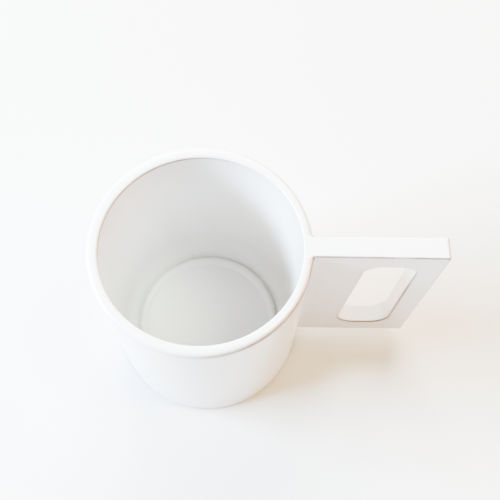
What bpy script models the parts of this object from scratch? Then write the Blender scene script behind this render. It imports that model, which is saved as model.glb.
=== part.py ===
"""A slab-built stoneware mug with a flat, windowed handle.

The mug is six pieces of clay, each one its own object:

  base                a flat disc, the only piece that touches the table
  wall                a straight tube that stands on the disc and ends in the lip
  floor_coil          a soft roll of clay pressed into the inside corner, tooled to a hollow and a low bead
  handle              a flat slab with a rounded window, standing on edge, its inner end cut to the wall's curve
  handle_coil_front   a thin roll of clay smoothed into the corner between wall and handle
  handle_coil_back    the same on the other face

Frame: the origin is the centre of the foot, +Z runs up the cup's axis, and the handle lies along +X.
All sizes are in metres. Every joint between two pieces keeps SEAM_GAP.
"""

import math

import bmesh
import bpy
from mathutils import Vector

# ---------------------------------------------------------------- driving sizes

# the cup
CUP_RADIUS = 0.0420
CUP_HEIGHT = 0.1000
WALL_THICKNESS = 0.0044
BASE_THICKNESS = 0.0050
FOOT_ROUNDING = 0.0018
LIP_OUTER_ROUNDING = 0.0026
LIP_INNER_ROUNDING = 0.0009

# the coil in the inside corner: a hollow up the wall, then a low bead on the floor
COIL_HOLLOW_WIDTH = 0.0040
COIL_HOLLOW_HEIGHT = 0.0040
COIL_GROOVE_HEIGHT = 0.0007
COIL_BEAD_WIDTH = 0.0052
COIL_BEAD_HEIGHT = 0.0014

# the handle slab, a little thicker at its free end
HANDLE_REACH = 0.0507
HANDLE_THICKNESS_AT_WALL = 0.0086
HANDLE_THICKNESS_AT_END = 0.0092
HANDLE_CLEAR_OF_TABLE = 0.0089
HANDLE_EDGE_ROUNDING = 0.0010

# its window, whose side nearest the cup leans outwards as it rises
WINDOW_WIDTH_AT_TOP = 0.0197
WINDOW_WIDTH_AT_BOTTOM = 0.0232
WINDOW_TOP_CORNER_RADIUS = 0.0070
WINDOW_BOTTOM_CORNER_RADIUS = 0.0085
WINDOW_FRAME_TOP = 0.0100
WINDOW_FRAME_BOTTOM = 0.0108
WINDOW_FRAME_OUTER = 0.0099

# the thin coils between handle and wall
HANDLE_COIL_LEG = 0.0023
HANDLE_COIL_HOLLOW_RADIUS = 0.0035

# how closely the clay pieces meet
SEAM_GAP = 0.0003

# how finely curves are cut
TURN_STEPS = 72
ROUNDING_STEPS = 5
HOLLOW_STEPS = 7
BEAD_STEPS = 7
CORNER_STEPS = 8
WALL_SIDE_STEPS = 2
MERGE_DISTANCE = 0.000001
SMOOTH_ANGLE = math.radians(40)

# ---------------------------------------------------------------- sizes worked out from them

CUP_INNER_RADIUS = CUP_RADIUS - WALL_THICKNESS
WALL_BOTTOM = BASE_THICKNESS + SEAM_GAP
COIL_OUTER_RADIUS = CUP_INNER_RADIUS - SEAM_GAP
GROOVE_RADIUS = COIL_OUTER_RADIUS - COIL_HOLLOW_WIDTH
BEAD_INNER_RADIUS = GROOVE_RADIUS - COIL_BEAD_WIDTH
HANDLE_OUTER_EDGE = CUP_RADIUS + HANDLE_REACH
WINDOW_OUTER_SIDE = HANDLE_OUTER_EDGE - WINDOW_FRAME_OUTER
WINDOW_BOTTOM = HANDLE_CLEAR_OF_TABLE + WINDOW_FRAME_BOTTOM
WINDOW_TOP = CUP_HEIGHT - WINDOW_FRAME_TOP


# ---------------------------------------------------------------- helpers

def arc(centre, radius_x, radius_y, start, end, steps):
    """Points along an arc or a quarter ellipse, from start to end in degrees, both ends included."""
    points = []
    for step in range(steps + 1):
        angle = math.radians(start + (end - start) * step / steps)
        points.append((centre[0] + radius_x * math.cos(angle), centre[1] + radius_y * math.sin(angle)))
    return points


def without_repeats(points):
    """The same outline with each point that repeats the one before it left out."""
    kept = []
    for point in points:
        if not kept or math.dist(point, kept[-1]) > MERGE_DISTANCE:
            kept.append(point)
    return kept


def make_material(name, colour, roughness):
    """A plain clay or glaze finish."""
    material = bpy.data.materials.new(name)
    material.use_nodes = True
    shader = material.node_tree.nodes["Principled BSDF"]
    shader.inputs["Base Color"].default_value = (*colour, 1.0)
    shader.inputs["Roughness"].default_value = roughness
    shader.inputs["Metallic"].default_value = 0.0
    return material


def add_object(name, mesh, material=None):
    """Put a mesh in the scene as a named object."""
    obj = bpy.data.objects.new(name, mesh)
    bpy.context.scene.collection.objects.link(obj)
    if material:
        mesh.materials.append(material)
    return obj


def shade_round(mesh):
    """Smooth shading, with the real edges kept sharp."""
    mesh.shade_smooth()
    mesh.set_sharp_from_angle(angle=SMOOTH_ANGLE)


def turn(name, outline, material, closed):
    """Turn an outline of (radius, height) points about the Z axis into a round piece.

    The outline starts on the outer side and runs down it, which makes the faces point outwards.
    """
    points = without_repeats(outline)
    edges = [(i, i + 1) for i in range(len(points) - 1)]
    if closed:
        edges.append((len(points) - 1, 0))
    mesh = bpy.data.meshes.new(name)
    mesh.from_pydata([(radius, 0.0, height) for radius, height in points], edges, [])
    obj = add_object(name, mesh, material)
    screw = obj.modifiers.new("turn", "SCREW")
    screw.axis = "Z"
    screw.angle = math.tau
    screw.steps = TURN_STEPS
    screw.render_steps = TURN_STEPS
    screw.use_merge_vertices = True
    screw.merge_threshold = MERGE_DISTANCE
    screw.use_smooth_shade = True
    return obj


def upright_prism(name, outline, low, high, material):
    """A closed solid with a counter-clockwise outline of (x, y) points, from height low to high."""
    build = bmesh.new()
    face = build.faces.new([build.verts.new((x, y, low)) for x, y in outline])
    extruded = bmesh.ops.extrude_face_region(build, geom=[face])
    moved = [item for item in extruded["geom"] if isinstance(item, bmesh.types.BMVert)]
    bmesh.ops.translate(build, verts=moved, vec=Vector((0, 0, high - low)))
    bmesh.ops.recalc_face_normals(build, faces=build.faces)
    mesh = bpy.data.meshes.new(name)
    build.to_mesh(mesh)
    build.free()
    return add_object(name, mesh, material)


def rounded_outline(corners):
    """A counter-clockwise outline with an arc at each corner that touches both of its sides.

    corners holds ((x, y), radius) in order.
    """
    outline = []
    for i, (corner, radius) in enumerate(corners):
        here = Vector(corner)
        back = (Vector(corners[i - 1][0]) - here).normalized()
        ahead = (Vector(corners[(i + 1) % len(corners)][0]) - here).normalized()
        half_angle = back.angle(ahead) / 2
        centre = here + (back + ahead).normalized() * radius / math.sin(half_angle)
        first = here + back * radius / math.tan(half_angle) - centre
        start = math.degrees(math.atan2(first.y, first.x))
        sweep = 180 - 2 * math.degrees(half_angle)
        outline += arc(centre, radius, radius, start, start + sweep, CORNER_STEPS)
    return without_repeats(outline)


def make_cutter(obj):
    """Mark an object as a cutting tool, which isn't part of the mug."""
    obj.hide_render = True
    obj.display_type = "WIRE"
    return obj


def cut(obj, cutter, name):
    """Take the cutter's shape out of an object."""
    boolean = obj.modifiers.new(name, "BOOLEAN")
    boolean.operation = "DIFFERENCE"
    boolean.solver = "EXACT"
    boolean.object = cutter


# ---------------------------------------------------------------- the cup

def make_base(material):
    """The disc. Its foot edge is rounded, and the wall stands on its flat top."""
    outline = [(0.0, BASE_THICKNESS), (CUP_RADIUS, BASE_THICKNESS)]
    foot_centre = (CUP_RADIUS - FOOT_ROUNDING, FOOT_ROUNDING)
    outline += arc(foot_centre, FOOT_ROUNDING, FOOT_ROUNDING, 0, -90, ROUNDING_STEPS)
    outline.append((0.0, 0.0))
    return turn("base", outline, material, closed=False)


def make_wall(material):
    """The tube. The lip falls away to the outside in a soft round, and is crisper inside."""
    outer_centre = (CUP_RADIUS - LIP_OUTER_ROUNDING, CUP_HEIGHT - LIP_OUTER_ROUNDING)
    inner_centre = (CUP_INNER_RADIUS + LIP_INNER_ROUNDING, CUP_HEIGHT - LIP_INNER_ROUNDING)
    outline = [(CUP_RADIUS, WALL_BOTTOM), (CUP_INNER_RADIUS, WALL_BOTTOM)]
    outline += arc(inner_centre, LIP_INNER_ROUNDING, LIP_INNER_ROUNDING, 180, 90, ROUNDING_STEPS)
    outline += arc(outer_centre, LIP_OUTER_ROUNDING, LIP_OUTER_ROUNDING, 90, 0, ROUNDING_STEPS)
    return turn("wall", outline, material, closed=True)


def make_floor_coil(material):
    """The coil in the inside corner: a hollow against the wall, a groove, and a low bead."""
    groove_height = WALL_BOTTOM + COIL_GROOVE_HEIGHT
    hollow_top = groove_height + COIL_HOLLOW_HEIGHT
    bead_middle = (GROOVE_RADIUS + BEAD_INNER_RADIUS) / 2
    outline = [(COIL_OUTER_RADIUS, hollow_top), (COIL_OUTER_RADIUS, WALL_BOTTOM), (BEAD_INNER_RADIUS, WALL_BOTTOM)]
    bead = arc((bead_middle, WALL_BOTTOM), COIL_BEAD_WIDTH / 2, COIL_BEAD_HEIGHT, 180, 0, BEAD_STEPS)
    outline += [point for point in bead[1:-1] if point[0] < bead_middle or point[1] > groove_height]
    hollow_centre = (GROOVE_RADIUS, hollow_top)
    outline += arc(hollow_centre, COIL_HOLLOW_WIDTH, COIL_HOLLOW_HEIGHT, -90, 0, HOLLOW_STEPS)
    return turn("floor_coil", outline[:-1], material, closed=True)


# ---------------------------------------------------------------- the handle

def slab_half_thickness(x):
    """Half the slab's thickness at a distance x from the cup's axis."""
    share = (x - CUP_RADIUS) / HANDLE_REACH
    return (HANDLE_THICKNESS_AT_WALL + (HANDLE_THICKNESS_AT_END - HANDLE_THICKNESS_AT_WALL) * share) / 2


def make_handle(material):
    """The slab on edge: cut out, given its window and soft edges, then cut to the wall's curve."""
    inner_half = slab_half_thickness(CUP_INNER_RADIUS)
    outer_half = slab_half_thickness(HANDLE_OUTER_EDGE)
    plan = [(CUP_INNER_RADIUS, -inner_half), (HANDLE_OUTER_EDGE, -outer_half),
            (HANDLE_OUTER_EDGE, outer_half), (CUP_INNER_RADIUS, inner_half)]
    handle = upright_prism("handle", plan, HANDLE_CLEAR_OF_TABLE, CUP_HEIGHT, material)
    cut(handle, make_window_cutter(), "window")
    rounding = handle.modifiers.new("soft edges", "BEVEL")
    rounding.width = HANDLE_EDGE_ROUNDING
    rounding.segments = 3
    rounding.limit_method = "ANGLE"
    rounding.angle_limit = SMOOTH_ANGLE
    cut(handle, make_wall_cutter(), "end cut to the wall")
    shade_round(handle.data)
    return handle


def make_window_cutter():
    """A prism with the window's outline, lying along Y and longer than the slab is thick."""
    outline = rounded_outline([
        ((WINDOW_OUTER_SIDE - WINDOW_WIDTH_AT_BOTTOM, WINDOW_BOTTOM), WINDOW_BOTTOM_CORNER_RADIUS),
        ((WINDOW_OUTER_SIDE, WINDOW_BOTTOM), WINDOW_BOTTOM_CORNER_RADIUS),
        ((WINDOW_OUTER_SIDE, WINDOW_TOP), WINDOW_TOP_CORNER_RADIUS),
        ((WINDOW_OUTER_SIDE - WINDOW_WIDTH_AT_TOP, WINDOW_TOP), WINDOW_TOP_CORNER_RADIUS)])
    reach = HANDLE_THICKNESS_AT_WALL + HANDLE_THICKNESS_AT_END
    cutter = upright_prism("window_cutter", outline, -reach, reach, None)
    cutter.rotation_euler = (math.radians(90), 0, 0)
    return make_cutter(cutter)


def make_wall_cutter():
    """A cylinder one seam gap larger than the cup, facet for facet with the wall."""
    radius = CUP_RADIUS + SEAM_GAP
    outline = arc((0, 0), radius, radius, 0, 360, TURN_STEPS)[:-1]
    return make_cutter(upright_prism("wall_cutter", outline, -CUP_HEIGHT, 2 * CUP_HEIGHT, None))


def make_handle_coil(name, side, material):
    """A three-sided coil in the corner between wall and handle, its free face hollow.

    side is -1 for the front face of the handle and +1 for the back.
    """
    wall_radius = (CUP_RADIUS + SEAM_GAP) / math.cos(math.pi / TURN_STEPS)
    slab_face = HANDLE_THICKNESS_AT_WALL / 2 + SEAM_GAP
    corner_angle = math.asin(slab_face / wall_radius)
    corner = Vector((wall_radius * math.cos(corner_angle), slab_face))
    slab_end = corner + Vector((HANDLE_COIL_LEG, 0))
    wall_end_angle = corner_angle + HANDLE_COIL_LEG / wall_radius
    wall_end = Vector((math.cos(wall_end_angle), math.sin(wall_end_angle))) * wall_radius

    middle = (slab_end + wall_end) / 2
    half_span = (slab_end - wall_end).length / 2
    distance = math.sqrt(HANDLE_COIL_HOLLOW_RADIUS ** 2 - half_span ** 2)
    centre = middle + (middle - corner).normalized() * distance
    first, last = slab_end - centre, wall_end - centre
    start = math.degrees(math.atan2(first.y, first.x))
    sweep = math.degrees(first.angle_signed(last))
    radius = HANDLE_COIL_HOLLOW_RADIUS
    outline = arc(centre, radius, radius, start, start - sweep, CORNER_STEPS)
    turn_back = (math.degrees(wall_end_angle), math.degrees(corner_angle))
    outline += arc((0, 0), wall_radius, wall_radius, *turn_back, WALL_SIDE_STEPS)[1:]

    low = HANDLE_CLEAR_OF_TABLE + HANDLE_EDGE_ROUNDING
    high = CUP_HEIGHT - LIP_OUTER_ROUNDING
    coil = upright_prism(name, [(x, side * y) for x, y in outline], low, high, material)
    shade_round(coil.data)
    return coil


# ---------------------------------------------------------------- the mug

def clear_scene():
    for obj in list(bpy.data.objects):
        bpy.data.objects.remove(obj, do_unlink=True)


def main():
    clear_scene()
    white = (0.86, 0.85, 0.83)
    make_base(make_material("base_glaze", white, 0.25))
    make_wall(make_material("wall_glaze", white, 0.12))
    make_floor_coil(make_material("floor_coil_glaze", white, 0.14))
    make_handle(make_material("handle_glaze", white, 0.12))
    make_handle_coil("handle_coil_front", -1, make_material("front_coil_glaze", white, 0.14))
    make_handle_coil("handle_coil_back", 1, make_material("back_coil_glaze", white, 0.14))


main()
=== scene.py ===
# %% [markdown]
# # A white-glazed slab mug
#
# A potter makes this mug from six pieces of stoneware clay. A flat disc is the base. A sheet rolled
# into a tube is the wall. A coil is pressed into the corner inside. A second flat slab, with a rounded
# window cut through it, stands on edge as the handle, and a thin coil is smoothed into each corner
# where it meets the wall. The whole mug is then dipped in one white glaze, which hides every join and
# runs thin on the edges, so that the brown clay shows through there as a fine line.
#
# This lesson rebuilds that skin round a packed CAD model of the same six pieces. The CAD model stays as
# it is. Each CAD piece is stood for by a smoother one that lies in the same place and meets its
# neighbours without a gap.

# %% Load the CAD model as the frame
import math

import bmesh
import bpy
from mathutils import Matrix, Vector
from mathutils.kdtree import KDTree


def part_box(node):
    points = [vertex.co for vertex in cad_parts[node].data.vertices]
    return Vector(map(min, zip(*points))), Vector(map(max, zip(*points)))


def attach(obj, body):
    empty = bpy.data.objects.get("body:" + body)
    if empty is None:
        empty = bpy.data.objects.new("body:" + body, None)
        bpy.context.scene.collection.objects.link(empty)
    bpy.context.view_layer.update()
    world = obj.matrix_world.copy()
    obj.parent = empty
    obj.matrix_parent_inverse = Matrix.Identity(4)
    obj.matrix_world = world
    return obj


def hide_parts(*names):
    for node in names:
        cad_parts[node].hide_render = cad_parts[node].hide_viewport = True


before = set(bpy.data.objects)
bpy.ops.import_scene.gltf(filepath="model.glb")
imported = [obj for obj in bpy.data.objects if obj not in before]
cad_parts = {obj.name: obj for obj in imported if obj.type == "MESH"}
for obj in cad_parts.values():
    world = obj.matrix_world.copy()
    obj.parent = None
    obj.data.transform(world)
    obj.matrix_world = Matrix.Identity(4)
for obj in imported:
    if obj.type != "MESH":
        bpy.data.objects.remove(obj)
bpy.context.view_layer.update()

print("CAD pieces:", ", ".join(sorted(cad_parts)))

# %% [markdown]
# ## Sizes
#
# A piece is only as well placed as the sizes it is made from. The large ones are read from the boxes of
# the CAD pieces, so the skin follows the part if it is packed again with other sizes. The small ones,
# such as how round an edge is, can't be read from a box, so they are given here once, by name.

# %% Read the large sizes from the CAD pieces
MM = 0.001

wall_low, wall_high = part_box("wall")
base_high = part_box("base")[1]
coil_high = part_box("floor_coil")[1]
handle_low, handle_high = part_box("handle")

cup_radius = wall_high.x
cup_height = wall_high.z
floor_height = base_high.z
inner_radius = coil_high.x + wall_low.z - base_high.z
handle_end = handle_high.x
handle_bottom = handle_low.z
handle_half_at_end = handle_high.y
print(f"cup {2000 * cup_radius:.1f} mm across and {1000 * cup_height:.1f} mm tall, inside radius"
      f" {1000 * inner_radius:.1f} mm, handle to {1000 * handle_end:.1f} mm")

# %% Give the small sizes
LIP_ROUND = 2.8 * MM            # the lip falls away to the outside, this far across
LIP_DROP = 2.4 * MM             # and this far down
LIP_SQUARE = 2.6                # 2 makes the fall a quarter ellipse, and more fills out its corner
LIP_INSIDE_ROUND = 0.9 * MM     # and turns more crisply inside
FOOT_ROUND = 1.8 * MM
EDGE_ROUND = 1.0 * MM           # every edge of the handle slab
CORNER_ROUND = 1.3 * MM         # the slab's two outer corners, seen from the side
JOIN_ROUND = 1.5 * MM           # the hollow where the handle meets the wall
HANDLE_HALF_AT_WALL = 4.3 * MM
RIM_OVAL = 0.3 * MM             # the hand-rolled rim is a little wider one way than the other
RIM_DRIFT = 0.6 * MM            # and its inner edge sits off centre by this much
RIM_DRIFT_AZIMUTH = math.radians(-45)
GROOVE_IN = 4.0 * MM            # from the inside of the wall to the groove that rings the floor

lip_start = cup_height - LIP_DROP
lip_flat_radius = cup_radius - LIP_ROUND
groove_radius = inner_radius - GROOVE_IN
slab_taper = (handle_half_at_end - HANDLE_HALF_AT_WALL) / (handle_end - cup_radius)
print(f"lip starts {1000 * lip_start:.1f} mm up, groove round the floor {1000 * groove_radius:.1f} mm out")

# %% [markdown]
# ## Tools for nodes
#
# Materials and Geometry Nodes are both trees of nodes. Wiring them one line at a time hides what they
# work out, so one small class stands for a wire in such a tree. Plus, minus and times on wires add the
# Math nodes, and a single method, node(), adds a node of any other kind: first its settings, then what
# goes into its sockets.

# %% A wire that knows arithmetic
class Wire:
    """An output in a node tree. Arithmetic on it adds Math nodes, and node() adds any other node."""

    def __init__(self, tree, socket=None):
        self.tree = tree
        self.socket = socket

    def node(self, kind, settings=None, sockets=None, output=0):
        """Add a node, set it up, fill its sockets with numbers or wires, and return one output."""
        made = self.tree.nodes.new(kind)
        for name, value in (settings or {}).items():
            setattr(made, name, value)
        for name, value in (sockets or {}).items():
            if isinstance(value, Wire):
                self.tree.links.new(value.socket, made.inputs[name])
            else:
                made.inputs[name].default_value = value
        return Wire(self.tree, made.outputs[output])

    def to(self, socket):
        """Plug this wire into a socket."""
        self.tree.links.new(self.socket, socket)

    def maths(self, operation, first, second=0.0):
        return self.node("ShaderNodeMath", {"operation": operation}, {0: first, 1: second})

    def __add__(self, other): return self.maths("ADD", self, other)
    def __radd__(self, other): return self.maths("ADD", other, self)
    def __sub__(self, other): return self.maths("SUBTRACT", self, other)
    def __rsub__(self, other): return self.maths("SUBTRACT", other, self)
    def __mul__(self, other): return self.maths("MULTIPLY", self, other)
    def __rmul__(self, other): return self.maths("MULTIPLY", other, self)
    def __truediv__(self, other): return self.maths("DIVIDE", self, other)
    def __rtruediv__(self, other): return self.maths("DIVIDE", other, self)
    def __pow__(self, other): return self.maths("POWER", self, other)

    def ramp(self, start, end, low=0.0, high=1.0):
        """Go smoothly from low to high as this value goes from start to end."""
        sockets = {"Value": self, "From Min": start, "From Max": end, "To Min": low, "To Max": high}
        return self.node("ShaderNodeMapRange", {"interpolation_type": "SMOOTHSTEP"}, sockets)

    def mix(self, first, second):
        """Blend two colours, with this value as the share of the second."""
        return self.node("ShaderNodeMix", {"data_type": "RGBA"}, {0: self, 6: first, 7: second}, output=2)

    def part(self, axis):
        """The X, Y or Z of a vector."""
        return self.node("ShaderNodeSeparateXYZ", sockets={0: self}, output=axis)


print("a wire can:", ", ".join(name for name in vars(Wire) if not name.startswith("_")))


# %% [markdown]
# ## Where wall and handle meet
#
# On the real mug a finger has been drawn down each corner between wall and handle, so both run into
# each other in a small hollow. Cut the mug level at any height and that hollow is an arc that just
# touches the wall's circle and the slab's face. If the arc is worked out at every height, up over the
# lip and the slab's own soft edge, the three surfaces share one direction wherever they touch, and no
# seam shows. A bevel along the joint would be quicker, but it can't follow the lip, which curves away
# faster than the slab does.

# %% Work out the level outline of the joint
ARC_TRIES = 5


def lip_radius(z):
    """The wall's outer radius at a height. It shrinks where the lip rounds over."""
    rise = max(z - lip_start, 0) / LIP_DROP
    return lip_flat_radius + LIP_ROUND * max(1 - rise ** LIP_SQUARE, 0) ** (1 / LIP_SQUARE)


def slab_half(x, z):
    """Half the slab's thickness at a distance x and a height. It shrinks at the soft edges."""
    into_edge = max(z - (cup_height - EDGE_ROUND), handle_bottom + EDGE_ROUND - z, 0)
    full = HANDLE_HALF_AT_WALL + slab_taper * (x - cup_radius)
    return full - EDGE_ROUND + math.sqrt(max(EDGE_ROUND ** 2 - into_edge ** 2, 0))


def join_arc(z, radius, shares):
    """Points of the hollow at a height, on the +Y side. Share 0 touches the wall and 1 the slab."""
    wall, x = lip_radius(z), cup_radius
    lean = math.sqrt(1 + slab_taper ** 2)
    for _ in range(ARC_TRIES):  # the slab tapers, so the arc's centre is found by closing in on it
        y = slab_half(x, z) + radius * lean
        x = math.sqrt((wall + radius) ** 2 - y ** 2)
    start, end = math.atan2(y, x) + math.pi, 1.5 * math.pi + math.atan(slab_taper)
    angles = [start + (end - start) * share for share in shares]
    return [(x + radius * math.cos(angle), y + radius * math.sin(angle)) for angle in angles]


for piece, (x, y) in zip(("wall", "slab"), join_arc(0.5 * cup_height, JOIN_ROUND, (0, 1))):
    print(f"half way up, the joint touches the {piece} at {1000 * x:.2f}, {1000 * y:.2f} mm")

# %% [markdown]
# ## Where the glaze runs thin
#
# Melted glaze pulls away from a sharp edge, and the clay's brown shows through. It could be painted by
# how curved the surface is, but that needs a much finer mesh and gives a blurred band. Here each edge
# is a line in space, with its own width and strength. The strength is higher where the edge lies in
# shade, away from the window, so painted shade darkens the clay's brown line there. Every vertex of
# the mug stores how far it is from the nearest line, counted in line widths, and how strong the line
# is there. The glaze reads both, so a crisp line follows each edge and runs on from piece to piece
# without a break.

# %% Draw the edge lines
RIM_LINE = 1.5 * MM            # below the top, on the lip's corner
INNER_RIM_LINE = 0.8 * MM
FOOT_LINE, FOOT_LINE_IN, FOOT_STRENGTH = 1.2 * MM, 0.1 * MM, 0.6
LINE_STEP = 0.12 * MM
HALF_TURN = math.sqrt(0.5)      # how far along a quarter round its middle lies
THIN_LINE, WIDE_LINE = 0.6 * MM, 1.3 * MM   # how far the brown reaches, on a crisp and on a soft edge
CLIMB_STEPS = 24                # from the rim's line up to the slab's

edge_points, edge_looks = [], []


def smooth(share):
    """Ease in and out between 0 and 1."""
    return share * share * (3 - 2 * share)


def add_line(points, width, strength, closed=False):
    """Keep a line as closely spaced points. The strength is a number, or a function of the place."""
    points = [Vector(p) for p in points]
    for a, b in zip(points, points[1:] + (points[:1] if closed else [])):
        count = max(1, math.ceil((b - a).length / LINE_STEP))
        for k in range(count):
            place = a.lerp(b, k / count)
            edge_points.append(place)
            edge_looks.append((width, strength(place) if callable(strength) else strength))


def strongest_at(azimuth, least, start, end):
    """A strength that goes from least to 1 as a place comes round to an azimuth, in degrees."""
    toward = Vector((math.cos(math.radians(azimuth)), math.sin(math.radians(azimuth)), 0))

    def strength(place):
        facing = Vector((place.x, place.y, 0)).normalized().dot(toward)
        return least + (1 - least) * smooth(min(max((facing - start) / (end - start), 0), 1))

    return strength


# The rim's lines are strongest where the rim faces away from the window, the outer one at the front and
# the inner one on the left: painted shade on top of the clay's brown.
outer_rim_strength = strongest_at(-18, 0.12, -0.1, 0.9)
inner_rim_strength = strongest_at(165, 0.25, -0.4, 0.6)


def ring(radius, z, start=0.0, end=math.tau, steps=720):
    angles = [start + (end - start) * k / steps for k in range(steps + 1)]
    return [(radius * math.cos(a), radius * math.sin(a), z) for a in angles]


# %% The lines round the cup, and up through the joint to the slab
rim_line_height = cup_height - RIM_LINE
slab_line_height = cup_height - EDGE_ROUND * (1 - HALF_TURN)
touch_x, touch_y = join_arc(rim_line_height, JOIN_ROUND, (0,))[0]
touch_angle = math.atan2(touch_y, touch_x)
rim_line_radius = lip_radius(rim_line_height)
inner_lift = (LIP_INSIDE_ROUND - INNER_RIM_LINE) / LIP_INSIDE_ROUND
inner_line_radius = inner_radius + LIP_INSIDE_ROUND * (1 - math.sqrt(1 - inner_lift ** 2))
outer_line = ring(rim_line_radius, rim_line_height, touch_angle, math.tau - touch_angle)
add_line(outer_line, WIDE_LINE, outer_rim_strength)
inner_line = []
for x, y, z in ring(inner_line_radius, cup_height - INNER_RIM_LINE):
    angle = math.atan2(y, x)
    shift = RIM_OVAL * math.cos(2 * angle) + RIM_DRIFT * math.cos(angle - RIM_DRIFT_AZIMUTH)
    inner_line.append((x + shift * math.cos(angle), y + shift * math.sin(angle), z))
add_line(inner_line, THIN_LINE, inner_rim_strength)
add_line(ring(cup_radius - FOOT_LINE_IN, FOOT_LINE), THIN_LINE, FOOT_STRENGTH)
for side in (-1, 1):
    climb = []
    for k in range(CLIMB_STEPS + 1):
        share = k / CLIMB_STEPS
        z = rim_line_height + (slab_line_height - rim_line_height) * smooth(share)
        x, y = join_arc(z, JOIN_ROUND, (share,))[0]
        climb.append((x, side * y, z))
    add_line(climb, 0.5 * (THIN_LINE + WIDE_LINE), outer_rim_strength)
print(len(edge_points), "points on the cup's edge lines")

# %% [markdown]
# ## The outline of the handle slab
#
# Seen from the side, the slab is an upright plate with a rounded window in it. Both outlines are made
# as loops with the same number of points, so the skin between them can be laid as a grid of four-sided
# faces. A loop can be asked for at any distance in from the edge, which is what a soft edge needs: it
# is a stack of loops, each a little further out and a little lower.

# %% Loops with soft corners
WINDOW_TOP_WIDTH = 19.7 * MM
WINDOW_BOTTOM_WIDTH = 23.2 * MM
WINDOW_TOP_CORNER = 7.0 * MM
WINDOW_BOTTOM_CORNER = 8.5 * MM
FRAME_TOP, FRAME_BOTTOM, FRAME_OUTER = 10.0 * MM, 10.8 * MM, 9.9 * MM
CORNER_STEPS, SIDE_STEPS = 16, 30
TINY = 0.02 * MM


def soft_loop(corners):
    """A closed loop of (x, z) points from four corners, each ((x, z), radius), counter-clockwise."""
    arcs = []
    for i, (corner, radius) in enumerate(corners):
        here = Vector(corner)
        back = (Vector(corners[i - 1][0]) - here).normalized()
        ahead = (Vector(corners[(i + 1) % 4][0]) - here).normalized()
        half = back.angle(ahead) / 2
        centre = here + (back + ahead).normalized() * radius / math.sin(half)
        first = here + back * radius / math.tan(half) - centre
        start, sweep = math.atan2(first.y, first.x), math.pi - 2 * half
        arcs.append([centre + radius * Vector((math.cos(start + sweep * k / CORNER_STEPS),
                                               math.sin(start + sweep * k / CORNER_STEPS)))
                     for k in range(CORNER_STEPS + 1)])
    loop = []
    for i, points in enumerate(arcs):
        following = arcs[(i + 1) % 4][0]
        loop += points + [points[-1].lerp(following, k / SIDE_STEPS) for k in range(1, SIDE_STEPS)]
    return loop


def slab_loop(inset):
    """The slab's outline, brought in by inset everywhere but at the end that is inside the wall."""
    left, right = lip_flat_radius - TINY, handle_end - inset
    low, high = handle_bottom + inset, cup_height - inset
    outer = max(CORNER_ROUND - inset, TINY)
    return soft_loop([((left, low), TINY), ((right, low), outer),
                      ((right, high), outer), ((left, high), TINY)])


def window_loop(outset):
    """The window's outline, let out by outset. Its side nearest the cup leans outwards as it rises."""
    right = handle_end - FRAME_OUTER + outset
    low, high = handle_bottom + FRAME_BOTTOM, cup_height - FRAME_TOP
    lean = (WINDOW_BOTTOM_WIDTH - WINDOW_TOP_WIDTH) / (high - low)
    shift = outset * math.sqrt(1 + lean ** 2)
    left_low = handle_end - FRAME_OUTER - WINDOW_BOTTOM_WIDTH - shift - lean * outset
    left_high = handle_end - FRAME_OUTER - WINDOW_TOP_WIDTH - shift + lean * outset
    bottom, top = WINDOW_BOTTOM_CORNER + outset, WINDOW_TOP_CORNER + outset
    return soft_loop([((left_low, low - outset), bottom), ((right, low - outset), bottom),
                      ((right, high + outset), top), ((left_high, high + outset), top)])


print("slab outline:", len(slab_loop(0)), "points, window outline:", len(window_loop(0)), "points")


# %% The lines along the slab's edges
# The line is strongest on the handle's front, which lies in the cup's shadow, and faintest on its lit
# back: painted shade on top of the clay's brown.
FRONT_STRENGTH, BACK_STRENGTH, CORNER_STRENGTH = 1.0, 0.4, 0.6

line_inset = EDGE_ROUND * (1 - HALF_TURN)
slab_start = join_arc(slab_line_height, JOIN_ROUND, (1,))[0][0]
corner_x = handle_end - CORNER_ROUND * (1 - HALF_TURN)
for side, strength in ((-1, FRONT_STRENGTH), (1, BACK_STRENGTH)):
    def beside(point):
        half = HANDLE_HALF_AT_WALL + slab_taper * (point[0] - cup_radius) - line_inset
        return (point[0], side * half, point[1])

    outline = [beside(p) for p in slab_loop(line_inset)]
    for a, b in zip(outline, outline[1:] + outline[:1]):
        level_part = max(a[0], b[0]) > slab_start and abs(a[2] - b[2]) < TINY
        if min(a[0], b[0]) > slab_start or level_part:
            part = [(max(end[0], slab_start), end[1], end[2]) for end in (a, b)]
            add_line(part, THIN_LINE, strength)
    add_line([beside(p) for p in window_loop(line_inset)], THIN_LINE, strength, closed=True)
corner_inset = CORNER_ROUND * (1 - HALF_TURN)
for z in (handle_bottom + corner_inset, cup_height - corner_inset):
    half = handle_half_at_end - line_inset
    add_line([(corner_x, -half, z), (corner_x, half, z)], WIDE_LINE, CORNER_STRENGTH)

edge_tree = KDTree(len(edge_points))
for number, point in enumerate(edge_points):
    edge_tree.insert(point, number)
edge_tree.balance()
print(len(edge_points), "points on all the edge lines")


# %% Finish a mesh: outward faces, crisp edges, and what it knows of the edge lines
SHARP_ANGLE = 40
MERGE_DISTANCE = 0.001 * MM


def finish_mesh(mesh):
    """Turn faces outwards, keep real edges sharp, and store the nearest line's distance and strength."""
    build = bmesh.new()
    build.from_mesh(mesh)
    bmesh.ops.remove_doubles(build, verts=build.verts, dist=MERGE_DISTANCE)
    bmesh.ops.recalc_face_normals(build, faces=build.faces)
    build.to_mesh(mesh)
    build.free()
    mesh.shade_smooth()
    mesh.set_sharp_from_angle(angle=math.radians(SHARP_ANGLE))
    nearest = [edge_tree.find(vertex.co) for vertex in mesh.vertices]
    distances = [away / edge_looks[number][0] for _, number, away in nearest]
    strengths = [edge_looks[number][1] for _, number, _ in nearest]
    for name, values in (("edge_distance", distances), ("edge_strength", strengths)):
        mesh.attributes.new(name, "FLOAT", "POINT").data.foreach_set("value", values)
    return mesh


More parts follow.
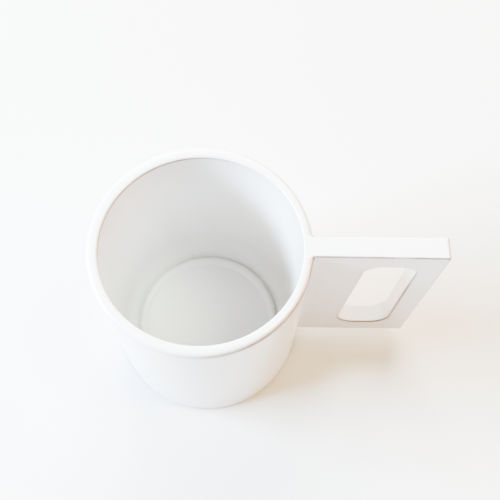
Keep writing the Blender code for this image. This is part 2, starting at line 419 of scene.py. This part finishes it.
def add_piece(name, mesh, node):
    """Show a finished mesh in place of a CAD piece."""
    piece = bpy.data.objects.new(name, finish_mesh(mesh))
    bpy.context.scene.collection.objects.link(piece)
    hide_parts(node)
    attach(piece, "root")
    print(f"{name}: {len(mesh.vertices)} vertices, in place of {node}")


# %% [markdown]
# ## The glaze
#
# Stoneware glaze is a thin coat of glass over clay. It is not one flat white: its tone drifts a touch
# warmer and cooler, it has a faint ripple from the dipping, and its shine is a little uneven. All of
# that comes from noise read in the mug's own coordinates, so the same pattern carries on over every
# piece. The brown line comes from the stored edge distance. One function mixes the glaze, and each
# piece gives it only what differs, such as the bare clay under the foot, the painted warm shade on the
# handle's upright faces, and the painted shade and pooled glaze in the groove round the floor.

# %% Mix the glaze
WHITE = (0.885, 0.88, 0.868, 1)
WHITE_COOL = (0.87, 0.878, 0.88, 1)
CLAY_THROUGH_GLAZE = (0.33, 0.24, 0.20, 1)
PAINTED_WARM_SHADE = (0.62, 0.52, 0.44, 1)          # painted warm shade on the handle's upright faces, which lie in the cup's shadow
POOLED_GLAZE_AND_CREASE_SHADE = (0.62, 0.62, 0.60, 1)        # painted shade in the crease round the floor, together with mottled pooled glaze
BARE_CLAY = (0.45, 0.33, 0.25, 1)
BARE_CLAY_DARK = (0.33, 0.23, 0.17, 1)
LINE_FULL, LINE_GONE, HALO_GONE = 0.3, 1.0, 3.5      # in line widths from an edge line

# The sizes of the lumps of noise, from the largest to the smallest.
CLOUD, RIPPLE, PATCH, FOOT_EDGE, MOTTLE, RAG, PINHOLE, GRIT = (
    size * MM for size in (22, 9, 7, 5, 3.2, 2.5, 1.3, 0.6))
BARE_HEIGHT = 0.95 * MM                     # how far up the foot the clay is bare
BARE_BLUR = 0.1 * MM
WARM_SHADE_START, WARM_SHADE_FULL, WARM_SHADE_EASES = 41.4 * MM, 47 * MM, 55 * MM     # along the handle, from the axis
GROOVE_DARK_CORE, GROOVE_DARK_EDGE, GROOVE_DARK_RAG = 0.1 * MM, 1.9 * MM, 2 * MM         # either side of the groove

# How rough the glass is, and what a drift in the glaze, a thin line and bare clay add to it.
GLASS_ROUGH, DRIFT_ROUGH, LINE_ROUGH, CLAY_ROUGH = 0.13, 0.05, 0.15, 0.6


def noise(start, place, size, detail=2.0):
    """Smooth noise from 0 to 1 whose lumps are about this many metres across."""
    return start.node("ShaderNodeTexNoise", {"noise_dimensions": "3D"},
                      {"Vector": place, "Scale": 1 / size, "Detail": detail, "Roughness": 0.5}, output=0)


def make_glaze(name, bare_foot=False, groove=False, upright_warm_shade=False):
    """The white glaze, if asked with a bare foot, painted shade and pooled glaze in the tooled groove, and
    painted warm shade on upright faces.
    """
    material = bpy.data.materials.new(name)
    material.use_nodes = True
    shader = material.node_tree.nodes["Principled BSDF"]
    start = Wire(material.node_tree)
    place = start.node("ShaderNodeTexCoord", output="Object")

    cloud = noise(start, place, CLOUD)
    patch = noise(start, place, PATCH)
    edge = start.node("ShaderNodeAttribute", {"attribute_name": "edge_distance"}, output="Fac")
    strength = start.node("ShaderNodeAttribute", {"attribute_name": "edge_strength"}, output="Fac")
    ragged = edge + (noise(start, place, RAG) - 0.5) * 0.3
    # The brown line is clay through thin glaze, and its stored strength adds painted shade, also in the
    # halo.
    line_and_shade = ragged.ramp(LINE_FULL, LINE_GONE, 1, 0) * patch.ramp(0.25, 0.7, 0.72, 1) * strength
    halo = edge.ramp(LINE_FULL, HALO_GONE, 0.05, 0) * strength
    colour = cloud.ramp(0.3, 0.7).mix(WHITE, WHITE_COOL)
    colour = (line_and_shade + halo).mix(colour, CLAY_THROUGH_GLAZE)
    roughness = GLASS_ROUGH + cloud * DRIFT_ROUGH + line_and_shade * LINE_ROUGH
    ripple = noise(start, place, RIPPLE) * 0.7 + noise(start, place, PINHOLE) * 0.06

    # Painted warm shade: the handle's upright faces get a peach tint for the warm light in the cup's
    # shadow, and its level top stays white.
    if upright_warm_shade:
        level = start.maths("ABSOLUTE", start.node("ShaderNodeTexCoord", output="Normal").part("Z"))
        x = place.part("X")
        reach = x.ramp(WARM_SHADE_START, WARM_SHADE_FULL) * x.ramp(WARM_SHADE_EASES, handle_end, 1, 0.5)
        share = level.ramp(0.3, 0.8, 1, 0) * reach * (0.14 + patch * 0.2)
        colour = share.mix(colour, PAINTED_WARM_SHADE)
    # Painted shade in the floor's crease, darker grey near the groove and mottled like pooled glaze; the
    # mottle also ripples the bump.
    if groove:
        x, y = place.part("X"), place.part("Y")
        mottle = noise(start, place, MOTTLE)
        beside = start.maths("ABSOLUTE", (x * x + y * y) ** 0.5 - groove_radius)
        share = (beside + (mottle - 0.5) * GROOVE_DARK_RAG).ramp(GROOVE_DARK_CORE, GROOVE_DARK_EDGE, 0.5, 0)
        colour = share.mix(colour, POOLED_GLAZE_AND_CREASE_SHADE)
        ripple = ripple + mottle * 0.9
    if bare_foot:
        uneven = place.part("Z") + (noise(start, place, FOOT_EDGE) - 0.5) * 0.3 * MM
        bare = uneven.ramp(BARE_HEIGHT - BARE_BLUR, BARE_HEIGHT + BARE_BLUR, 1, 0)
        grit = noise(start, place, GRIT, detail=4)
        colour = bare.mix(colour, grit.ramp(0.35, 0.65).mix(BARE_CLAY, BARE_CLAY_DARK))
        roughness = roughness + bare * CLAY_ROUGH
        ripple = ripple + bare * grit * 0.5
    bump = start.node("ShaderNodeBump", None, {"Strength": 0.35, "Distance": 0.1 * MM, "Height": ripple})

    colour.to(shader.inputs["Base Color"])
    roughness.to(shader.inputs["Roughness"])
    bump.to(shader.inputs["Normal"])
    shader.inputs["IOR"].default_value = 1.5
    return material


wall_glaze = make_glaze("wall_glaze")
base_glaze = make_glaze("base_glaze", bare_foot=True)
coil_glaze = make_glaze("floor_coil_glaze", groove=True)
handle_glaze = make_glaze("handle_glaze", upright_warm_shade=True)
join_glaze = make_glaze("handle_coil_glaze", upright_warm_shade=True)
print("glazes:", ", ".join(m.name for m in bpy.data.materials if m.name.endswith("glaze")))

# %% [markdown]
# ## Turning the round pieces
#
# Base, wall and floor coil are all round, so each is an outline turned about the cup's axis. A Screw
# modifier could do that, but it turns a perfect circle. A sheet rolled by hand closes into a ring that
# is slightly oval at the rim, so the turning is done in Geometry Nodes: a grid of points is laid, each
# point looks up its place on the outline, and is then swung round the axis, with the oval added on the
# way.

# %% Build the turning tree
def build_turning_tree():
    """A node group that turns an outline of points in the XZ plane about the Z axis."""
    tree = bpy.data.node_groups.new("turn_outline", "GeometryNodeTree")
    tree.interface.new_socket("Outline", in_out="INPUT", socket_type="NodeSocketGeometry")
    tree.interface.new_socket("Facets", in_out="INPUT", socket_type="NodeSocketInt")
    for name in ("Oval", "Oval From", "Oval To", "Oval Radius", "Round Radius", "Drift", "Drift Azimuth"):
        tree.interface.new_socket(name, in_out="INPUT", socket_type="NodeSocketFloat")
    tree.interface.new_socket("Finish", in_out="INPUT", socket_type="NodeSocketMaterial")
    tree.interface.new_socket("Piece", in_out="OUTPUT", socket_type="NodeSocketGeometry")

    group = tree.nodes.new("NodeGroupInput")
    given = {socket.name: Wire(tree, socket) for socket in group.outputs if socket.name}
    start = Wire(tree)
    across = given["Facets"] + 1
    count = start.node("GeometryNodeAttributeDomainSize", {"component": "MESH"}, {0: given["Outline"]})
    grid = start.node("GeometryNodeMeshGrid", None, {"Vertices X": count, "Vertices Y": across})

    number = start.node("GeometryNodeInputIndex")
    along = start.maths("FLOOR", (number + 0.5) / across)
    around = number - along * across
    position = start.node("GeometryNodeInputPosition")
    point = start.node("GeometryNodeSampleIndex", {"data_type": "FLOAT_VECTOR", "domain": "POINT"},
                       {0: given["Outline"], "Value": position, "Index": along})
    radius, height = point.part("X"), point.part("Z")

    angle = around / given["Facets"] * math.tau
    share = radius.ramp(given["Round Radius"], given["Oval Radius"])
    share = share * height.ramp(given["Oval From"], given["Oval To"])
    oval = given["Oval"] * start.maths("COSINE", angle * 2)
    drift = given["Drift"] * start.maths("COSINE", angle - given["Drift Azimuth"])
    radius = radius + share * (oval + drift)
    x, y = radius * start.maths("COSINE", angle), radius * start.maths("SINE", angle)
    place = start.node("ShaderNodeCombineXYZ", None, {"X": x, "Y": y, "Z": height})
    turned = start.node("GeometryNodeSetPosition", None, {0: grid, "Position": place})
    closed = start.node("GeometryNodeMergeByDistance", None, {0: turned, "Distance": MERGE_DISTANCE})
    real = start.node("GeometryNodeRealizeInstances", None, {0: closed})
    finished = start.node("GeometryNodeSetMaterial", None, {0: real, "Material": given["Finish"]})
    finished.to(tree.nodes.new("NodeGroupOutput").inputs[0])
    return tree


turning_tree = build_turning_tree()
print("turning tree:", len(turning_tree.nodes), "nodes")


# %% Turn an outline into a mesh
FACETS = 288
OVAL_FROM = 0.35                # the wall is round up to this share of its height


def turned_mesh(name, outline, finish, oval=0.0, drift=0.0):
    """Turn an outline of (radius, height) points about the cup's axis."""
    points = bpy.data.meshes.new(name + "_outline")
    points.from_pydata([(radius, 0, z) for radius, z in outline], [], [])
    holder = bpy.data.objects.new(name + "_outline", points)
    bpy.context.scene.collection.objects.link(holder)
    turn = holder.modifiers.new("turn", "NODES")
    turn.node_group = turning_tree
    values = {"Facets": FACETS, "Oval": oval, "Oval From": OVAL_FROM * cup_height, "Oval To": cup_height,
              "Oval Radius": inner_radius, "Round Radius": lip_flat_radius, "Drift": drift,
              "Drift Azimuth": RIM_DRIFT_AZIMUTH, "Finish": finish}
    for item in turning_tree.interface.items_tree:
        if item.in_out == "INPUT" and item.name in values:
            turn[item.identifier] = values[item.name]
    graph = bpy.context.evaluated_depsgraph_get()
    mesh = bpy.data.meshes.new_from_object(holder.evaluated_get(graph), depsgraph=graph)
    holder.modifiers.remove(turn)
    bpy.data.objects.remove(holder)
    mesh.name = name
    return mesh


def arc(centre, across, up, start, end, steps):
    """Points on an arc or a quarter ellipse, from start to end in degrees, both ends included."""
    angles = [math.radians(start + (end - start) * k / steps) for k in range(steps + 1)]
    return [(centre[0] + across * math.cos(a), centre[1] + up * math.sin(a)) for a in angles]


def straight(radius, start, end, steps):
    """Points on a straight side, both ends left out."""
    return [(radius, start + (end - start) * k / steps) for k in range(1, steps)]


print("each round piece is turned in", FACETS, "facets")


# %% [markdown]
# ## The wall and its lip
#
# The lip is not a half round. It falls away softly to the outside and turns crisply to the inside, with
# a narrow flat between. The outline gets closely spaced points where the edge lines lie, because the
# stored distance is only right between points that are near each other.

# %% Make the wall
LIP_STEPS, BAND_STEPS, OUTER_STEPS, INNER_STEPS = 48, 16, 24, 40
DENSE_FROM, DENSE_TO = 2.0 * MM, 1.4 * MM       # below the top, where the inside needs closer points
band_end = rim_line_height - 2 * WIDE_LINE
quarter = [0.5 * math.pi * k / LIP_STEPS for k in range(LIP_STEPS + 1)]
outline = [(lip_flat_radius + LIP_ROUND * math.sin(a) ** (2 / LIP_SQUARE),
            lip_start + LIP_DROP * max(math.cos(a), 0) ** (2 / LIP_SQUARE)) for a in quarter]
outline += straight(cup_radius, lip_start, band_end, BAND_STEPS) + [(cup_radius, band_end)]
outline += straight(cup_radius, band_end, floor_height, OUTER_STEPS) + [(cup_radius, floor_height)]
outline += [(inner_radius, floor_height)]
outline += straight(inner_radius, floor_height, cup_height - DENSE_FROM, INNER_STEPS)
outline += [(inner_radius, cup_height - DENSE_FROM), (inner_radius, cup_height - DENSE_TO)]
line_angle = 180 - math.degrees(math.asin(inner_lift))
inner_middle = (inner_radius + LIP_INSIDE_ROUND, cup_height - LIP_INSIDE_ROUND)
outline += arc(inner_middle, LIP_INSIDE_ROUND, LIP_INSIDE_ROUND, 180, line_angle, 2)
outline += arc(inner_middle, LIP_INSIDE_ROUND, LIP_INSIDE_ROUND, line_angle, 90, 12)[1:]
outline.append(outline[0])
mesh = turned_mesh("glazed_wall", outline, wall_glaze, RIM_OVAL, RIM_DRIFT)
add_piece("glazed_wall", mesh, "wall")

# %% [markdown]
# ## The base
#
# The disc shows twice: as the floor inside, and as a narrow band under the wall outside. Its foot edge
# is rounded so that it doesn't chip. Potters wipe the foot clean of glaze so that the mug doesn't fuse
# to the kiln shelf, so the underside is bare clay.

# %% Make the base
outline = [(radius * MM, floor_height) for radius in (0, 12, 24, 36)] + [(cup_radius, floor_height)]
outline += straight(cup_radius, floor_height, FOOT_ROUND, 4)
outline += arc((cup_radius - FOOT_ROUND, FOOT_ROUND), FOOT_ROUND, FOOT_ROUND, 0, -90, 14)
outline += [(radius * MM, 0) for radius in (30, 15, 0)]
add_piece("glazed_base", turned_mesh("glazed_base", outline, base_glaze), "base")

# %% [markdown]
# ## The coil in the inside corner
#
# A coil pressed into the corner and tooled thickens the foot of the wall in a long shallow hollow,
# leaves a crease below it, and ends in a low bead on the floor. Its top dies away in line with the
# wall, and its hidden sides are sunk into wall and base.

# %% Make the floor coil
COIL_TOP = 19.0 * MM            # above the floor, where the hollow dies away into the wall
GROOVE_LIFT = 0.5 * MM
BEAD_WIDTH, BEAD_HEIGHT = 4.6 * MM, 1.35 * MM
BEAD_STEPS, HOLLOW_STEPS = 36, 40
SUNK = 0.3 * MM

bead_inner = groove_radius - BEAD_WIDTH
outline = [(inner_radius + SUNK, floor_height + COIL_TOP), (inner_radius + SUNK, floor_height - SUNK),
           (bead_inner, floor_height - SUNK)]
for k in range(BEAD_STEPS + 1):  # the bead: a low roll between the floor and the groove
    share = k / BEAD_STEPS
    swell = math.sin(math.pi * share) * BEAD_HEIGHT
    outline.append((bead_inner + BEAD_WIDTH * share, floor_height + GROOVE_LIFT * share ** 2 + swell))
for k in range(1, HOLLOW_STEPS + 1):  # the hollow: least steep at the groove, which is left a crease
    share = (k / HOLLOW_STEPS) ** 1.5
    outline.append((inner_radius - GROOVE_IN * (1 - share) ** 3,
                    floor_height + GROOVE_LIFT + (COIL_TOP - GROOVE_LIFT) * share))
outline.append(outline[0])
mesh = turned_mesh("glazed_floor_coil", outline, coil_glaze)
add_piece("glazed_floor_coil", mesh, "floor_coil")

# %% [markdown]
# ## The handle slab
#
# The skin of the slab is one closed ribbon of loops: out over the front face, round the soft outer
# edge, across the back face, and home through the window. Its inner end lies inside the wall, where
# nothing shows.

# %% Lay the loops and skin them
ROUND_STEPS = 10
SIDE_ROWS = 10
FACE_SHARES = (0, 0.03, 0.12, 0.3, 0.5, 0.7, 0.88, 0.97, 1)


def soft_edge(loop_at, outwards):
    """Loops over one soft edge, from face to side, as (loop, how far below the face)."""
    angles = [0.5 * math.pi * k / ROUND_STEPS for k in range(ROUND_STEPS + 1)]
    rows = [(loop_at(EDGE_ROUND * (1 - math.sin(a))), EDGE_ROUND * (1 - math.cos(a))) for a in angles]
    return rows if outwards else rows[::-1]


def place_loop(loop, side, drop):
    """Put a loop a drop below the slab's face. Side -1 is the front, 1 the back and 0 midway."""
    points = []
    for x, z in loop:
        y = side * (HANDLE_HALF_AT_WALL + slab_taper * (x - cup_radius) - drop)
        if x - lip_flat_radius < TINY:  # the inner end follows the rim's own curve
            x += math.sqrt(lip_flat_radius ** 2 - y ** 2) - lip_flat_radius
        points.append((x, y, z))
    return points


inner, outer = window_loop(EDGE_ROUND), slab_loop(EDGE_ROUND)
face = [[a.lerp(b, share) for a, b in zip(inner, outer)] for share in FACE_SHARES]
rows = [place_loop(loop, -1, 0) for loop in face]
rows += [place_loop(loop, -1, drop) for loop, drop in soft_edge(slab_loop, True)[1:]]
rows += [place_loop(slab_loop(0), 2 * k / SIDE_ROWS - 1, EDGE_ROUND) for k in range(1, SIDE_ROWS)]
rows += [place_loop(loop, 1, drop) for loop, drop in soft_edge(slab_loop, False)]
rows += [place_loop(loop, 1, 0) for loop in face[::-1][1:]]
rows += [place_loop(loop, 1, drop) for loop, drop in soft_edge(window_loop, True)[1:]]
rows += [place_loop(window_loop(0), 1 - 2 * k / SIDE_ROWS, EDGE_ROUND) for k in range(1, SIDE_ROWS)]
rows += [place_loop(loop, -1, drop) for loop, drop in soft_edge(window_loop, False)[:-1]]

width = len(inner)
faces = []
for r in range(len(rows)):
    for c in range(width):
        after, beyond = (r + 1) % len(rows), (c + 1) % width
        faces.append((r * width + c, r * width + beyond, after * width + beyond, after * width + c))
mesh = bpy.data.meshes.new("glazed_handle")
mesh.from_pydata([point for row in rows for point in row], [], faces)
mesh.materials.append(handle_glaze)
add_piece("glazed_handle", mesh, "handle")

# %% [markdown]
# ## The coils beside the handle
#
# Each one is the stack of arcs worked out above, from the slab's lower edge, where the hollow dies
# away, up to the level top. Two more sides, sunk into the wall and the slab, close it.

# %% Stack the arcs
ARC_STEPS = 18
FADE_HEIGHT = 3.5 * MM
FADE_RADIUS = 0.25 * MM
FADE_STEPS, PLAIN_STEPS, TOP_STEPS, SOFT_STEPS = 12, 20, 30, 14

shares = [(1 - math.cos(math.pi * k / ARC_STEPS)) / 2 for k in range(ARC_STEPS + 1)]
faded, full = handle_bottom + EDGE_ROUND, handle_bottom + EDGE_ROUND + FADE_HEIGHT
levels = [faded + FADE_HEIGHT * k / FADE_STEPS for k in range(FADE_STEPS)]
levels += [full + (lip_start - full) * k / PLAIN_STEPS for k in range(PLAIN_STEPS)]
levels += [lip_start + LIP_DROP * math.sin(math.pi / 2 * k / TOP_STEPS) for k in range(TOP_STEPS + 1)]
levels += [cup_height - EDGE_ROUND * (1 - math.sin(math.pi / 2 * k / SOFT_STEPS))
           for k in range(SOFT_STEPS)]
levels = sorted(set(round(z, 7) for z in levels))


def join_mesh(name, side):
    """The coil on one side of the handle: -1 is the front and 1 the back."""
    points, faces, width = [], [], ARC_STEPS + 2
    for z in levels:
        fade = min((z - faded) / FADE_HEIGHT, 1)
        radius = FADE_RADIUS + (JOIN_ROUND - FADE_RADIUS) * math.sin(math.pi / 2 * fade)
        points += [(x, side * y, z) for x, y in join_arc(z, radius, shares)]
        sunk = min(SUNK, cup_height - z)
        wall = lip_radius(z) - sunk
        y = slab_half(wall, z) - sunk
        points.append((math.sqrt(wall ** 2 - y ** 2), side * y, z))
    for k in range(len(levels) - 1):
        for i in range(width):
            j = (i + 1) % width
            faces.append((k * width + i, k * width + j, (k + 1) * width + j, (k + 1) * width + i))
    for first in (0, (len(levels) - 1) * width):
        faces += [(first + i, first + i + 1, first + width - 1) for i in range(ARC_STEPS)]
    mesh = bpy.data.meshes.new(name)
    mesh.from_pydata(points, [], faces)
    mesh.materials.append(join_glaze)
    return mesh


for name, side, node in (("glazed_join_front", -1, "handle_coil_front"),
                         ("glazed_join_back", 1, "handle_coil_back")):
    add_piece(name, join_mesh(name, side), node)

# %% [markdown]
# ## Floor, light and camera
#
# A white mug on a white table is drawn by light alone. Cool daylight comes from a wide window on the
# left and a second one at the back, a small light hangs overhead, and a warm lamp on the right and the
# warm room fill in the shadows, so they are soft and peach-coloured. The camera sees a plain bright
# backdrop in place of the room. The paper on the floor fades out into it well away from the mug, so
# that no horizon line runs behind it in a low view. The view transform is one that keeps detail both in
# the bright glaze outside and in the shade inside.

# %% Lay the floor
FLOOR_COLOUR = (0.80, 0.785, 0.76, 1)
FLOOR_HALF, FADE_START, FADE_END = 3.0, 0.7, 2.2      # metres

mesh = bpy.data.meshes.new("floor")
corners = [(FLOOR_HALF * x, FLOOR_HALF * y, 0) for x, y in ((-1, -1), (1, -1), (1, 1), (-1, 1))]
mesh.from_pydata(corners, [], [(0, 1, 2, 3)])
floor = bpy.data.objects.new("floor", mesh)
bpy.context.scene.collection.objects.link(floor)

paper = bpy.data.materials.new("floor_paper")
paper.use_nodes = True
paper.node_tree.nodes.clear()
start = Wire(paper.node_tree)
place = start.node("ShaderNodeTexCoord", output="Object")
x, y = place.part("X"), place.part("Y")
gone = ((x * x + y * y) ** 0.5).ramp(FADE_START, FADE_END)
sheet = start.node("ShaderNodeBsdfPrincipled", None, {"Base Color": FLOOR_COLOUR, "Roughness": 0.8})
clear = start.node("ShaderNodeBsdfTransparent")
faded = start.node("ShaderNodeMixShader", None, {0: gone, 1: sheet, 2: clear})
faded.to(paper.node_tree.nodes.new("ShaderNodeOutputMaterial").inputs["Surface"])
mesh.materials.append(paper)
print("floor:", 2 * FLOOR_HALF, "m across, gone at", FADE_END, "m")

# %% Light the room
ROOM_COLOUR, ROOM_STRENGTH = (1.0, 0.54, 0.2, 1), 0.28
BACKDROP_COLOUR, BACKDROP_STRENGTH = (1.0, 1.0, 1.0, 1), 3.0

world = bpy.data.worlds.new("room")
bpy.context.scene.world = world
world.use_nodes = True
world.node_tree.nodes.clear()
start = Wire(world.node_tree)
seen = start.node("ShaderNodeLightPath", output="Is Camera Ray")
room = start.node("ShaderNodeBackground", None, {"Color": ROOM_COLOUR, "Strength": ROOM_STRENGTH})
backdrop = start.node("ShaderNodeBackground", None,
                      {"Color": BACKDROP_COLOUR, "Strength": BACKDROP_STRENGTH})
both = start.node("ShaderNodeMixShader", None, {0: seen, 1: room, 2: backdrop})
both.to(world.node_tree.nodes.new("ShaderNodeOutputWorld").inputs["Surface"])

LIGHT_DISTANCE = 2.4


def add_light(name, azimuth, elevation, size, power, colour):
    """A soft light of a width and height that faces the mug. Azimuth runs from +X to +Y, in degrees."""
    light = bpy.data.lights.new(name, "AREA")
    light.shape, light.energy, light.color = "RECTANGLE", power, colour
    light.size, light.size_y = size
    lamp = bpy.data.objects.new(name, light)
    a, e = math.radians(azimuth), math.radians(elevation)
    away = Vector((math.cos(a) * math.cos(e), math.sin(a) * math.cos(e), math.sin(e)))
    lamp.location = away * LIGHT_DISTANCE
    lamp.rotation_euler = away.to_track_quat("Z", "Y").to_euler()
    lamp.visible_camera = False
    bpy.context.scene.collection.objects.link(lamp)


add_light("window", 180, 32, (1.5, 0.7), 293, (0.618, 0.781, 1.0))
add_light("far_window", 90, 40, (1.6, 1.6), 104.6, (1.0, 0.957, 0.884))
add_light("ceiling", 0, 68, (0.6, 0.6), 31, (0.854, 1.0, 0.694))
add_light("warm_lamp", 0, 35, (1.6, 1.6), 31, (1.0, 0.30, 0.04))
bpy.context.scene.view_settings.view_transform = "AgX"
bpy.context.scene.view_settings.look = "AgX - High Contrast"

# %% Set up the camera
CAMERA_AZIMUTH, CAMERA_ELEVATION = math.radians(2.298), math.radians(67.60)
CAMERA_ROLL = math.radians(2.711)
CAMERA_DISTANCE = 265.0 * MM
CAMERA_LENS, SENSOR_WIDTH = 52.087, 36.0
aim = Vector((18.40 * MM, -1.67 * MM, cup_height))

look = Vector((math.sin(CAMERA_AZIMUTH) * math.cos(CAMERA_ELEVATION),
               math.cos(CAMERA_AZIMUTH) * math.cos(CAMERA_ELEVATION), -math.sin(CAMERA_ELEVATION)))
level = Vector((math.cos(CAMERA_AZIMUTH), -math.sin(CAMERA_AZIMUTH), 0))
right = level * math.cos(CAMERA_ROLL) + level.cross(look) * math.sin(CAMERA_ROLL)
turn = Matrix((right, right.cross(look), -look)).transposed().to_4x4()
camera_data = bpy.data.cameras.new("camera")
camera_data.lens, camera_data.sensor_width = CAMERA_LENS, SENSOR_WIDTH
camera_data.clip_start = 10 * MM
camera = bpy.data.objects.new("camera", camera_data)
camera.matrix_world = Matrix.Translation(aim - look * CAMERA_DISTANCE) @ turn
bpy.context.scene.collection.objects.link(camera)
bpy.context.scene.camera = camera
print("camera at", [round(1000 * v, 2) for v in camera.matrix_world.translation], "mm")
